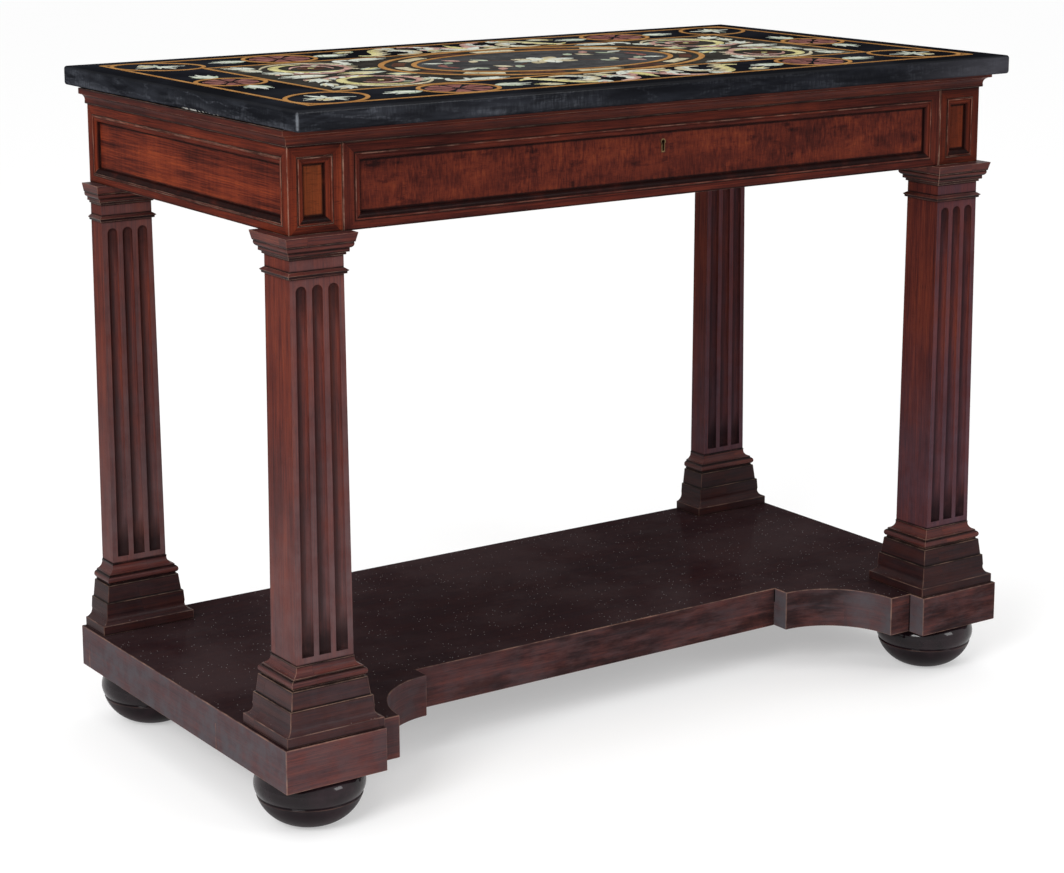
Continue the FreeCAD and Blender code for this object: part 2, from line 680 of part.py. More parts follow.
# The lock behind the drawer front; its bolt slides up into the pocket in the top rail
lock_bottom = back_board_bottom + lock_floor_gap
case = board("case", lock_width, lock_depth, front_top - lock_bottom, -(lock_width / 2), drawer_back_face,
             lock_bottom)
channel_width = bolt_width + 2 * bolt_clearance
channel_height = bolt_length + bolt_clearance
channel = board("bolt_channel", channel_width, bolt_thickness + 2 * bolt_clearance, channel_height,
                -(channel_width / 2), bolt_front - bolt_clearance, front_top - channel_height)
node(cut("channelled_case", case, channel), "lock_case")
node(board("bolt", bolt_width, bolt_thickness, bolt_length, -(bolt_width / 2), bolt_front,
           front_top - bolt_length), "lock_bolt")

# The platform: a deck over corner blocks with hollow fronts, rails and blocks for the feet
block_inside = platform_end - block_front
hollow_start = block_inside - block_land
hollow_end = hollow_start - hollow_radius
block_face = -platform_front
land_face = block_return - platform_front
hollow_back = block_return + hollow_radius - platform_front
corner_back = centre_front + rail_thickness
front_outline = [(hollow_end, hollow_back, HOLLOW), (hollow_start, land_face), (block_inside, land_face),
                 (block_inside, block_face), (platform_end, block_face)]
deck_outline = (mirrored(front_outline) + [(-hollow_end, centre_front), (hollow_end, centre_front)]
                + front_outline + [(platform_end, platform_back), (-platform_end, platform_back)])
deck_board = extruded("deck_board", "XY_Plane", deck_outline, deck_thickness)
move(deck_board, 0, 0, deck_bottom)
node(cut("mortised_deck", deck_board, *cores.values()), "platform_deck")
block_height = deck_bottom - foot_height
foot_x = platform_end - foot_inset
foot_y = {"front": foot_inset - platform_front, "back": platform_back - foot_inset}


def foot_socket(name, hand, row):
    socket = doc.addObject("Part::Cylinder", name)
    tie(socket, "Radius", spigot_radius + spigot_clearance)
    tie(socket, "Height", spigot_length + spigot_clearance)
    return move(socket, foot_x * hand, foot_y[row], foot_height)


corner_outline = front_outline + [(platform_end, corner_back), (hollow_end, corner_back)]
inner_end = platform_end - rail_thickness
back_inside = platform_back - rail_thickness
back_blocks = []
for side, hand in SIDES:
    outline = corner_outline if hand > 0 else mirrored(corner_outline)
    corner = extruded(f"corner_{side}", "XY_Plane", outline, block_height)
    move(corner, 0, 0, foot_height)
    node(cut(f"bored_corner_{side}", corner, foot_socket(f"front_socket_{side}", hand, "front")),
         f"platform_corner_{side}")
    node(board(f"side_board_platform_{side}", rail_thickness, back_inside - corner_back, block_height,
               inner_end if hand > 0 else -platform_end, corner_back, foot_height),
         f"platform_side_rail_{side}")
    block = board(f"back_block_{side}", foot_block, foot_block, block_height,
                  inner_end - foot_block if hand > 0 else -inner_end, back_inside - foot_block, foot_height)
    back_blocks.append(cut(f"bored_block_{side}", block, foot_socket(f"back_socket_{side}", hand, "back")))
node(grouped("back_block_pair", *back_blocks), "foot_blocks")
node(board("front_board_platform", 2 * hollow_end, rail_thickness, block_height,
           -hollow_end, centre_front, foot_height), "platform_front_rail")
node(board("back_board_platform", 2 * platform_end, rail_thickness, block_height,
           -platform_end, back_inside, foot_height), "platform_back_rail")

# The turned bun feet, ringed at the waist, with spigots up into their blocks
foot_section = [(0, 0), (foot_contact_radius, 0, SWELL),
                (foot_waist_radius, foot_ring_height - foot_ring_width / 2),
                (foot_waist_radius - foot_ring_depth, foot_ring_height),
                (foot_waist_radius, foot_ring_height + foot_ring_width / 2, ROUND),
                (foot_top_radius, foot_height), (spigot_radius, foot_height),
                (spigot_radius, foot_height + spigot_length), (0, foot_height + spigot_length)]
for row in ("front", "back"):
    for side, hand in SIDES:
        foot = turned_piece(f"bun_{row}_{side}", foot_section)
        node(move(foot, foot_x * hand, foot_y[row], 0), f"foot_{row}_{side}")

# Every piece must be sound before it is written
doc.recompute()
for thing in doc.Objects:
    if "Invalid" in thing.State or "Error" in thing.State:
        raise RuntimeError(f"{thing.Label} could not be built")
os.makedirs("parts", exist_ok=True)
for thing in nodes:
    if thing.Shape.isNull() or not thing.Shape.isValid():
        raise RuntimeError(f"{thing.Label} is not a sound shape")
    thing.Shape.exportStep(f"parts/{thing.Label}.step")
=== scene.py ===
from math import atan2, cos, pi, radians, sin

import bmesh
import bpy
from mathutils import Matrix, Vector


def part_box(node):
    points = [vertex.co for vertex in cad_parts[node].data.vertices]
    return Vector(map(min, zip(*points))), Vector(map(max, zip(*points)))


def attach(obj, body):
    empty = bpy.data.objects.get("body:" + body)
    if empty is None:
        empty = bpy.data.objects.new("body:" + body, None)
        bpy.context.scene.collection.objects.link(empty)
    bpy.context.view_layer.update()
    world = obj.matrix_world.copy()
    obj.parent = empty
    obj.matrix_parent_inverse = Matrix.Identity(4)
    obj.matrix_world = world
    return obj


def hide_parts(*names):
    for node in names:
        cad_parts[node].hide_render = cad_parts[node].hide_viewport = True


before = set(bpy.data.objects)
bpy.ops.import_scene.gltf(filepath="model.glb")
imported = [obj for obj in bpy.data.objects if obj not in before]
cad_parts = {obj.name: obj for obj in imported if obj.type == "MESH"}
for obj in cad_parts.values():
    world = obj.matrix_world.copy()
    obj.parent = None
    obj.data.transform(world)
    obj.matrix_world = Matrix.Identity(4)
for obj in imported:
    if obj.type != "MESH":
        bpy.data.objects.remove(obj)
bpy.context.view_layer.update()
bpy.context.scene.view_settings.view_transform = "Standard"


# Bun feet
# Four turned feet, squat balls with a ring cut round the belly, of wood stained black and polished.
# Each is turned in one piece with its spigot, which is glued up into the platform.

class Wire:
    """A socket of a finish or of the sky. Sums written on it become Math nodes."""

    def __init__(self, tree, socket=None):
        self.tree = tree
        self.socket = socket

    def node(self, kind, settings, sockets, output=0):
        """One node of that kind: settings first, then the values or wires of its sockets."""
        made = self.tree.nodes.new("ShaderNode" + kind)
        for name, value in settings.items():
            if name == "stops":
                marks = made.color_ramp.elements
                for place, _ in value[1:-1]:
                    marks.new(place)
                for mark, (place, colour) in zip(marks, value):
                    mark.position = place
                    mark.color = (*colour, 1)
            else:
                setattr(made, name, value)
        for name, value in sockets.items():
            if isinstance(value, Wire):
                self.tree.links.new(value.socket, made.inputs[name])
            else:
                made.inputs[name].default_value = value
        return Wire(self.tree, made.outputs[output] if made.outputs else None)

    def maths(self, operation, *values):
        return self.node("Math", {"operation": operation}, dict(enumerate(values)))

    def __add__(self, other):
        return self.maths("ADD", self, other)

    def __sub__(self, other):
        return self.maths("SUBTRACT", self, other)

    def __rsub__(self, other):
        return self.maths("SUBTRACT", other, self)

    def __mul__(self, other):
        return self.maths("MULTIPLY", self, other)

    def __truediv__(self, other):
        return self.maths("DIVIDE", self, other)

    def __abs__(self):
        return self.maths("ABSOLUTE", self)

    def most(self, other):
        return self.maths("MAXIMUM", self, other)

    __radd__ = __add__
    __rmul__ = __mul__


def begin(name):
    """A new finish, and the wire that carries the place on the piece."""
    made = bpy.data.materials.new(name)
    made.use_nodes = True
    made.node_tree.nodes.clear()
    return made, Wire(made.node_tree).node("TexCoord", {}, {}, "Object")


def axes(vector):
    """The three parts of a vector."""
    return [vector.node("SeparateXYZ", {}, {"Vector": vector}, part) for part in range(3)]


def stretched(place, sizes, shift=(0, 0, 0)):
    """The place counted in marks of those sizes, in metres along each axis."""
    return place.node("Mapping", {}, {"Vector": place, "Location": shift,
                                      "Scale": [1 / size for size in sizes]})


def mottle(place, size=1.0, detail=3.0, rough=0.55):
    """Soft noise, 0 to 1, in marks of that size."""
    return place.node("TexNoise", {}, {"Vector": place, "Scale": 1 / size, "Detail": detail,
                                       "Roughness": rough})


def between(value, low, high, first=0.0, last=1.0):
    """Fades from first to last while the value goes from low to high."""
    return value.node("MapRange", {"interpolation_type": "SMOOTHSTEP"},
                      {"Value": value, 1: low, 2: high, 3: first, 4: last})


def tint(share, first, second):
    """The first colour, with that share of the second over it."""
    under, over = [value if isinstance(value, Wire) else (*value, 1) for value in (first, second)]
    return share.node("Mix", {"data_type": "RGBA"}, {0: share, 6: under, 7: over}, 2)


def polish(made, place, colour, rough, relief, depth, gloss):
    """Ends a finish: its colour, its roughness, its relief of that depth, and its gloss values."""
    bump = place.node("Bump", {}, {"Strength": 1.0, "Distance": depth, "Height": relief})
    shader = place.node("BsdfPrincipled", {}, {"Base Color": colour, "Roughness": rough, "Normal": bump,
                                               **gloss})
    place.node("OutputMaterial", {}, {"Surface": shader})
    return made


corner_angle = radians(28)


def merged(name):
    """A copy of a solid's mesh with its points joined and its flat faces whole."""
    shape = bmesh.new()
    shape.from_mesh(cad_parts[name].data)
    bmesh.ops.remove_doubles(shape, verts=shape.verts, dist=2e-6)
    bmesh.ops.dissolve_limit(shape, angle_limit=radians(0.5), verts=shape.verts, edges=shape.edges)
    return shape


def eased(name, arris, finish, body="carcass", shortest=0.0, inside=None, flush=None):
    """Stands for a solid: its copy with arrises taken off and corners filled, marked for rubbing and painted
    highlight on its arrises, and for dirt and painted shade in its corners and flutes.
    Edges at the height where it lies flush with its neighbour stay sharp."""
    shape = merged(name)
    marks = {mark: shape.faces.layers.float.new(mark) for mark in ("arris", "crease", "hollow")}
    if inside is not None:
        for face in shape.faces:
            face[marks["hollow"]] = float(inside(face))
    for mark, way in (("arris", 1), ("crease", -1)):
        edges = [edge for edge in shape.edges if len(edge.link_faces) == 2 and edge.calc_length() > shortest
                 and way * edge.calc_face_angle_signed() > corner_angle
                 and (flush is None or any(abs(vert.co.z - flush) > 0.0001 for vert in edge.verts))]
        made = bmesh.ops.bevel(shape, geom=edges, offset=arris, offset_type="OFFSET", affect="EDGES",
                               segments=2, profile=0.5, material=-1, clamp_overlap=True)
        for face in made["faces"]:
            face[marks[mark]] = 1.0
    for face in shape.faces:
        face.smooth = True
    mesh = bpy.data.meshes.new(name + "_eased")
    shape.to_mesh(mesh)
    shape.free()
    mesh.set_sharp_from_angle(angle=radians(27))
    piece = bpy.data.objects.new(name + "_eased", mesh)
    bpy.context.collection.objects.link(piece)
    shading = piece.modifiers.new("flat_faces_stay_flat", "WEIGHTED_NORMAL")
    shading.keep_sharp = True
    mesh.materials.append(finish)
    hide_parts(name)
    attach(piece, body)


def marked(place, mark):
    """Which faces carry that mark of the easing."""
    return place.node("Attribute", {"attribute_name": mark}, {}, "Fac")


def worn_arris(place, size=0.035):
    """Where the eased arrises are painted pale in broken runs, as lost colour, and on the mahogany also as
    painted highlight.
    """
    return marked(place, "arris") * between(mottle(place, size, 5, 0.65), 0.36, 0.68, 0.12, 1.0)


ends = ("front_left", "front_right", "back_left", "back_right")

ebonised, place = begin("ebonised_polish")
dulled = between(mottle(place, 0.05, 5), 0.4, 0.7)
rings = mottle(stretched(place, (0.03, 0.03, 0.0012)), 1, 3)
colour = tint(dulled, (0.0065, 0.0032, 0.0046), (0.0190, 0.0095, 0.0125))
colour = tint(worn_arris(place) * 0.55, colour, (0.10, 0.05, 0.035))
kicked = between(axes(place)[2], 0.028, 0.044, 1.0, 0.0)
polish(ebonised, place, colour, 0.25 + 0.16 * dulled + 0.2 * kicked, rings, 0.00004,
       {"Coat Weight": 0.42 - 0.30 * kicked, "Coat Roughness": 0.05, "Specular IOR Level": 0.03})
for end in ends:
    eased(f"foot_{end}", 0.0005, ebonised)


# Foot blocks
# Two plain unpolished blocks behind the show wood, which take the spigots of the back feet.
# They are sawn and planed, brown with age, and glued up under the deck.

def drawn_out(along, length, width):
    """The sizes of marks that are long on one axis and narrow on the others."""
    return [length if axis == along else width for axis in "XYZ"]


def raw_wood(name, along):
    """Planed wood that was never polished, its grain along one axis."""
    made, place = begin(name)
    rings = mottle(stretched(place, drawn_out(along, 0.35, 0.011), (0.3, 0.1, 0.7)), 1, 5, 0.6)
    lines = mottle(stretched(place, drawn_out(along, 0.05, 0.0011)), 1, 3)
    dirt = between(mottle(place, 0.11, 4), 0.45, 0.75)
    tones = [(0.3, (0.15, 0.075, 0.036)), (0.52, (0.27, 0.155, 0.08)), (0.75, (0.40, 0.25, 0.14))]
    colour = place.node("ValToRGB", {"stops": tones}, {"Fac": rings * 0.65 + lines * 0.35})
    colour = tint(dirt * 0.45, colour, (0.10, 0.062, 0.04))
    return polish(made, place, colour, 0.62 + 0.2 * lines, lines * 0.7 + rings * 0.3, 0.0002,
                  {"Specular IOR Level": 0.3})


raw_lengthways = raw_wood("raw_wood_lengthways", "X")
raw_crossways = raw_wood("raw_wood_crossways", "Y")
raw_upright = raw_wood("raw_wood_upright", "Z")


def left_as_made(name, finish):
    """A solid whose own faces are right keeps them, and takes the finish."""
    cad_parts[name].data.materials.clear()
    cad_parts[name].data.materials.append(finish)


left_as_made("foot_blocks", raw_crossways)


# Platform
# The low stage on which the columns stand: a mahogany deck on deep rails, its front hollowed between
# two corner blocks. The show faces are veneered, french polished, and worn and dusty near the floor.

def grain(place, along, seed, ripple=0.0):
    """How light the wood is, 0 to 1: growth streaks, fine lines and cloudy patches along one axis."""
    def run(length, width, detail):
        sizes = drawn_out(along, length, width)
        return mottle(stretched(place, sizes, (seed, seed * 1.7, seed * 0.6)), 1, detail, 0.6)

    clouds = mottle(stretched(place, (0.09, 0.09, 0.09), (seed, seed, seed)), 1, 3)
    tone = 0.46 * run(0.30, 0.011, 4) + 0.46 * run(0.07, 0.0016, 3) + 0.28 * clouds - 0.1
    if ripple:
        across = drawn_out(along, 0.006, 0.05)
        tone = tone + ripple * (mottle(stretched(place, across, (seed, seed, seed)), 1, 3) - 0.5)
    return tone


def pores(place, along, seed):
    """Where the short dark pores of mahogany lie along one axis, 0 to 1."""
    sizes = drawn_out(along, 0.012, 0.0006)
    return between(mottle(stretched(place, sizes, (seed, seed, seed)), 1, 2), 0.58, 0.70)


def mahogany(made, place, tone, marks, shade=1.0, hue=(1.0, 1.0, 1.0), gloss=0.30, sheen=0.05, wear=1.0,
             dust=0.0, specks=0.0, dark_top=0.0, haze=0.0, film=(0.066, 0.049, 0.055), clear_sides=0.0,
             joins=(), seams=None, grime=None, rubbed=None, warm=None):
    """Ends a mahogany finish: red-brown wood from its tone and pores, with the marks of long use over it.
    The arrises are painted pale for rubbing and as painted highlight, a pale veil stands for dust and a
    painted sheen, tops can be painted dark as shade, dust and specks lie on top, and creases, flute walls
    and joins gather dirt and painted shade."""
    def wood(red, green, blue):
        return red * shade * hue[0], green * shade * hue[1], blue * shade * hue[2]

    top_black = (0.0105, 0.0048, 0.0060)
    dust_brown = (0.054, 0.036, 0.037)
    speck_grey = (0.36, 0.33, 0.33)
    dirt_black = (0.0050, 0.0030, 0.0032)
    bare_wood = (0.32, 0.19, 0.14)
    height = axes(place)[2]
    broken = mottle(place, 0.03, 5, 0.65)
    colour = place.node("ValToRGB", {"stops": [
        (0.30, wood(0.014, 0.0034, 0.0034)), (0.45, wood(0.058, 0.0110, 0.0080)),
        (0.56, wood(0.104, 0.0196, 0.0112)), (0.74, wood(0.176, 0.038, 0.0160))]}, {"Fac": tone})
    if warm is not None:
        colour = tint(warm, colour, wood(0.125, 0.040, 0.0120))
    colour = tint(marks * 0.6, colour, wood(0.010, 0.0022, 0.0015))
    facing = axes(place.node("TexCoord", {}, {}, "Normal"))
    # A pale veil stands for dust and dulled polish and for a painted sheen; clear_sides thins it on faces
    # turned sideways, or thickens it there when below zero.
    if haze:
        dulled = haze * (1 - clear_sides * abs(facing[0]))
        colour = tint(dulled * between(broken, 0.30, 0.70, 0.6, 1.0), colour, film)
    if seams is not None:
        colour = tint(seams, colour, (0.010, 0.004, 0.003))
    rough = gloss + 0.14 * broken
    up = between(facing[2], 0.55, 0.95)
    # Painted shade: faces turned up are darkened, as tops in shade that see little light.
    if dark_top:
        colour = tint(up * dark_top, colour, top_black)
        rough = rough + up * 0.2
    if dust:
        lying = between(mottle(place, 0.2, 6, 0.62), 0.38, 0.66)
        colour = tint(up * dust * lying, colour, dust_brown)
        rough = rough + up * (0.4 * dust)
    if specks:
        spacing = 0.0055
        grains = {"Vector": place, "Scale": 1 / spacing}
        kept = between(axes(place.node("TexVoronoi", {}, grains, "Color"))[0], 0.45, 0.55)
        speck = between(place.node("TexVoronoi", {}, grains, "Distance"), 0.07, 0.13, 1.0, 0.0)
        colour = tint(specks * up * kept * speck, colour, speck_grey)
    # Dirt and painted shade: creases, the flute walls turned away from the left, the given joins and the
    # extra mask are darkened.
    dirt = marked(place, "crease") + marked(place, "hollow") * between(facing[0], -0.75, 0.1, 0.05, 0.55)
    if grime is not None:
        dirt = dirt.most(grime)
    for join in joins:
        dirt = dirt.most(between(abs(height - join), 0.0004, 0.0030, 1.0, 0.0))
    colour = tint(dirt * between(broken, 0.25, 0.55, 0.6, 0.95), colour, dirt_black)
    # Pale arrises, for rubbing and as painted highlight where edges catch the light.
    worn = worn_arris(place)
    if rubbed is not None:
        worn = worn.most(rubbed)
    colour = tint(worn * (0.6 * wear), colour, bare_wood)
    return polish(made, place, colour, rough + 0.12 * worn, 1 - marks + tone * 0.5, 0.00008,
                  {"Coat Weight": 0.02, "Coat Roughness": 0.12, "Specular IOR Level": sheen})


def plain_mahogany(name, along, seed, **looks):
    """Mahogany cut from one length, its grain along one axis."""
    made, place = begin(name)
    return mahogany(made, place, grain(place, along, seed), pores(place, along, seed), **looks)


def veneered(name, seed, band=0.0, stains=0.0, **looks):
    """Veneer that runs round a block and lengthways on its top. With a band, it is laid in lengths of that
    size, with fine seams between them. Stains darken its front in smudges, towards the right."""
    made, place = begin(name)
    along, deep, height = axes(place)
    facing = axes(place.node("TexCoord", {}, {}, "Normal"))
    sideways = between(abs(facing[0]) - abs(facing[1]), 0.05, 0.15)
    run = along + sideways * (deep - along)
    across = deep * between(facing[2], 0.5, 0.8)
    seam = None
    if band:
        length = run / band + mottle(stretched(place, (0.3, 0.3, 0.3), (seed, 0, 0)), 1, 0) * 2
        seam_width = 0.0006
        seam = 0.35 * between(abs(length.maths("FRACT", length) - 0.5), 0.5 - seam_width / band, 0.5)
        across = across + length.maths("FLOOR", length) * 0.37
    if stains:
        patches = mottle(stretched(place, (0.10, 0.10, 0.022), (seed, 0, 0)), 1, 5, 0.65)
        smudges = between(patches, 0.36, 0.64)
        spread = between(facing[1], -0.75, -0.45, 1.0, 0.0) * between(along, -0.44, -0.1, 0.1, 1.0)
        looks["grime"] = stains * spread * (0.3 + 0.7 * smudges)
    turned = place.node("CombineXYZ", {}, {0: run, 1: across, 2: height})
    return mahogany(made, place, grain(turned, "X", seed), pores(turned, "X", seed), seams=seam, **looks)


# The deck's top is painted dark as shade under the slab, and a grey veil stands for dust and painted sheen,
# heaviest on the sides.
platform_wood = veneered("mahogany_platform", 0.4, shade=1.15, gloss=0.36, sheen=0.0, wear=0.75, dust=0.34,
                         specks=0.8, dark_top=0.9, stains=0.8, haze=0.55, film=(0.072, 0.065, 0.072),
                         clear_sides=-0.78)
deck_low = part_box("platform_deck")[0].z
eased("platform_deck", 0.0012, platform_wood, flush=deck_low)
eased("platform_front_rail", 0.0010, platform_wood, flush=deck_low)
for side in ("left", "right"):
    eased(f"platform_corner_{side}", 0.0012, platform_wood, flush=deck_low)
    eased(f"platform_side_rail_{side}", 0.0010, platform_wood, flush=deck_low)
eased("platform_back_rail", 0.0010, platform_wood, flush=deck_low)


# Columns
# Four tapering square columns, the front pair whole and the back pair half as deep, with three flutes
# in front. Stepped plinths, beads and capitals are built up of mitred strips of mahogany.

def ledges(name):
    """The heights of the inner corners that run round a stepped piece, where dirt and painted shade are
    laid.
    """
    shape = merged(name)
    heights = {round(edge.verts[0].co.z, 4) for edge in shape.edges if len(edge.link_faces) == 2
               and edge.calc_face_angle_signed() < -corner_angle
               and abs(edge.verts[0].co.z - edge.verts[1].co.z) < 0.00002}
    shape.free()
    return sorted(heights)


def in_flute(face):
    """Whether a face of a shaft lies sunk behind its sloping front."""
    middle = face.calc_center_median()
    lean = 0.0015
    front = shaft_front + lean * (middle.z - shaft_low) / (shaft_high - shaft_low)
    return middle.y - front > 0.0004 and face.normal.y < 0.3 and abs(face.normal.x) < 0.975


deck_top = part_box("platform_deck")[1].z
plinth_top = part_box("base_plinth_front_left")[1].z
shaft_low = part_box("base_torus_front_left")[1].z
ring_low, ring_high = [end.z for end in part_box("astragal_front_left")]
shaft_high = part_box("capital_front_left")[0].z
frieze_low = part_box("drawer_front")[0].z
plinth = {"dust": 0.3, "specks": 0.5, "joins": (deck_top, plinth_top, *ledges("base_plinth_front_left"))}
# The front left plinth is a copy painted lighter, as lit by the left light, and the other three a copy
# painted darker as shade.
dark_plinth_wood = veneered("mahogany_dark_plinths", 6.3, 0.113, shade=0.27, wear=0.5, haze=0.26,
                            film=(0.036, 0.032, 0.038), **plinth)
worn_plinth_wood = veneered("mahogany_worn_plinth", 6.3, 0.113, shade=0.42, wear=0.7, haze=0.38,
                            film=(0.050, 0.046, 0.053), **plinth)
bead_wood = veneered("mahogany_beads", 8.9, 0.083, shade=0.8, gloss=0.24, sheen=0.06, wear=0.6, specks=0.2,
                     haze=0.3, joins=(plinth_top, shaft_low, *ledges("base_torus_front_left")))
shaft_woods = {}
# A lit and a shaded copy of one finish: the right pair is painted darker and more purple as the shaded side.
# The pale veil stands for dust and a painted sheen, heavier low down and on the fronts.
for side, shade, film in (("left", 1.0, (0.108, 0.076, 0.080)),
                          ("right", 0.86, (0.072, 0.048, 0.064))):
    shaft_woods[side], place = begin(f"mahogany_shafts_{side}")
    height = axes(place)[2]
    # Painted shade at the bottom and top ends of the flutes.
    flute_ends = (between(height, shaft_low + 0.02, shaft_low + 0.075, 0.85, 0.0)
                  + between(height, ring_low - 0.09, ring_low - 0.02, 0.0, 0.7))
    mahogany(shaft_woods[side], place, grain(place, "Z", 5.1) * 0.9 + 0.04, pores(place, "Z", 5.1),
             shade=shade, gloss=0.31, sheen=0.012, wear=0.8, film=film,
             haze=between(height, shaft_low, shaft_low + 0.38, 0.68, 0.42),
             clear_sides=between(height, shaft_low + 0.02, shaft_low + 0.36, 0.2, 0.9),
             joins=(shaft_low, ring_low, ring_high, shaft_high), grime=marked(place, "hollow") * flute_ends)
capital_joins = (shaft_high, *ledges("capital_front_left"), *ledges("astragal_front_left"))
capital_wood = veneered("mahogany_capitals", 7.7, 0.087, shade=0.8, gloss=0.28, wear=1.1, dust=0.3,
                        haze=0.22, clear_sides=0.6, joins=capital_joins)
for end in ends:
    shaft_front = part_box(f"shaft_{end}")[0].y
    plinth_wood = worn_plinth_wood if end == "front_left" else dark_plinth_wood
    eased(f"base_plinth_{end}", 0.0009, plinth_wood)
    eased(f"base_torus_{end}", 0.0006, bead_wood)
    shaft_wood = shaft_woods[end.split("_")[1]]
    eased(f"shaft_{end}", 0.0009, shaft_wood, shortest=0.2, inside=in_flute)
    eased(f"astragal_{end}", 0.0005, capital_wood)
    eased(f"capital_{end}", 0.0009, capital_wood)


# Frieze
# The box under the slab: corner blocks, sides, and a hidden frame of rails, joined and glued.
# Each show face has a sunk panel of figured veneer, a mitred ogee strip round it, and a mitred border.

bed_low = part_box("bed_moulding_front")[0].z
panel_low, panel_high = [end.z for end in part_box("drawer_panel_moulding")]
strip_width = 0.0092


def framed_panel(name, strips, across, seed, figure, shade=1.0, hue=(1.05, 0.9, 0.64), sheen=0.02, wear=1.0,
                 gold=0.0, worn_piece=""):
    """A border whose grain runs round a sunk panel, mitred, with a slim strip and a panel of its own figure.
    The strip's outer edge is painted pale, for rubbing and as a painted highlight fading towards the bottom,
    and dirt and painted shade lie in the corners on both sides of it and on its ledge. The end arrises of
    the named piece are painted pale for rubbing too."""
    axis = "XYZ".index(across)
    first, last = [end[axis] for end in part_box(strips)]
    made, place = begin(name)
    coordinates = axes(place)
    along, height = coordinates[axis], coordinates[2]
    shown = between(axes(place.node("TexCoord", {}, {}, "Normal"))[1], 0.4, 0.6, 1.0, 0.0)
    beyond = abs(along - (first + last) / 2) - (last - first) / 2
    above = abs(height - (panel_low + panel_high) / 2) - (panel_high - panel_low) / 2
    out = beyond.most(above)
    stile = between(beyond - above, -0.0002, 0.0002)
    inside = shown * between(out, -strip_width - 0.0002, -strip_width + 0.0002, 1.0, 0.0)
    strip = between(out, -strip_width, -strip_width + 0.0002) * between(out, -0.0002, 0.0, 1.0, 0.0)
    mitre = shown * between(abs(beyond - above), 0.0, 0.0005, 1.0, 0.0) * (1 - inside)
    level = grain(place, across, seed)
    upright = grain(place, "Z", seed + 0.9)
    border = level + stile * (upright - level) + 0.04 * stile - 0.05
    tone = border + inside * (figure(place) - border)
    # Dirt and painted shade: a dark line in the corner inside the strip, another just outside it, and the
    # bottom strip's ledge darkened as in shade.
    quirk = between(abs(out + strip_width + 0.0004), 0.0005, 0.0027, 0.95, 0.0)
    joint = between(abs(out - 0.0005), 0.0003, 0.0016, 0.85, 0.0)
    lower = between(height, panel_low + 0.011, panel_low + 0.015, 0.95, 0.0)
    sill = strip * (1 - stile) * lower * between(out, -0.0024, -0.0016, 1.0, 0.0)
    # The strip's outer edge is painted pale for rubbing and as a painted highlight, weaker towards the
    # bottom.
    runs = between(mottle(place, 0.022, 4), 0.40, 0.62, 0.08, 1.0)
    upper = between(height, panel_low - 0.001, panel_high - 0.020, 0.45, 1.0)
    rubbed = shown * runs * upper * between(abs(out + 0.0011), 0.0003, 0.0009, 0.6, 0.0)
    if worn_piece:
        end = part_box(worn_piece)[1][axis]
        rubbed = rubbed.most(between(abs(along), end - 0.0018, end - 0.0010) * runs)
    return mahogany(made, place, tone, pores(place, across, seed), shade=shade, hue=hue, sheen=sheen,
                    wear=wear, haze=0.03, joins=(frieze_low, bed_low), seams=mitre * 0.45, rubbed=rubbed,
                    grime=shown * quirk.most(joint).most(sill), warm=inside * gold)


def flame(place):
    """Crotch-cut veneer: short upright ripples that come and go, in light and dark patches."""
    ripple = mottle(stretched(place, (0.0042, 0.1, 0.017), (0.2, 0, 0.4)), 1, 4, 0.6)
    fine = mottle(stretched(place, (0.0013, 0.1, 0.010)), 1, 3)
    patch = mottle(stretched(place, (0.10, 0.1, 0.035), (3.1, 0, 0.5)), 1, 5, 0.62)
    strong = between(mottle(stretched(place, (0.06, 0.1, 0.03), (5.2, 0, 1.5)), 1, 3), 0.35, 0.6, 0.25, 1.0)
    spots = between(mottle(stretched(place, (0.040, 0.1, 0.014), (1.2, 0, 2.4)), 1, 5, 0.65), 0.56, 0.72)
    return 0.5 + 0.5 * (ripple - 0.5) * strong + 0.26 * (fine - 0.5) + 0.66 * (patch - 0.5) - 0.14 * spots


def streaky(place):
    """Straight-cut veneer with long level streaks on the sides."""
    return grain(place, "Y", 11.4, ripple=0.12) * 1.25 - 0.125


def warm_upright(place):
    """Plain upright veneer, a little lighter than the border."""
    return grain(place, "Z", 12.8) + 0.03


side_wood = framed_panel("mahogany_frieze_sides", "side_panel_moulding_left", "Y", 13.1, streaky, shade=1.1,
                         sheen=0.005, wear=0.9, worn_piece="side_rail_left")
# The left and right blocks are copies of one finish: the right is painted darker and less warm, as the
# shaded side.
for side, gold, shade in (("left", 0.4, 1.0), ("right", 0.1, 0.8)):
    post_wood = framed_panel(f"mahogany_corner_block_{side}", f"post_panel_moulding_{side}", "X", 14.9,
                             warm_upright, shade, wear=1.1, gold=gold)
    eased(f"front_post_{side}", 0.0008, post_wood)
    eased(f"side_rail_{side}", 0.0007, side_wood)
    eased(f"post_panel_moulding_{side}", 0.0004, post_wood)
    eased(f"side_panel_moulding_{side}", 0.0004, side_wood)
    eased(f"back_post_{side}", 0.0008, raw_upright)
eased("back_rail", 0.0008, raw_lengthways)
left_as_made("front_top_rail", raw_lengthways)
left_as_made("drawer_blade", raw_lengthways)
left_as_made("drawer_runners", raw_crossways)
left_as_made("drawer_kickers", raw_crossways)


# Drawer
# One long drawer behind the whole front: a figured mahogany front with a sunk panel, on sides, back
# and bottom of plain oak. It is grooved and glued together and slides on runners.

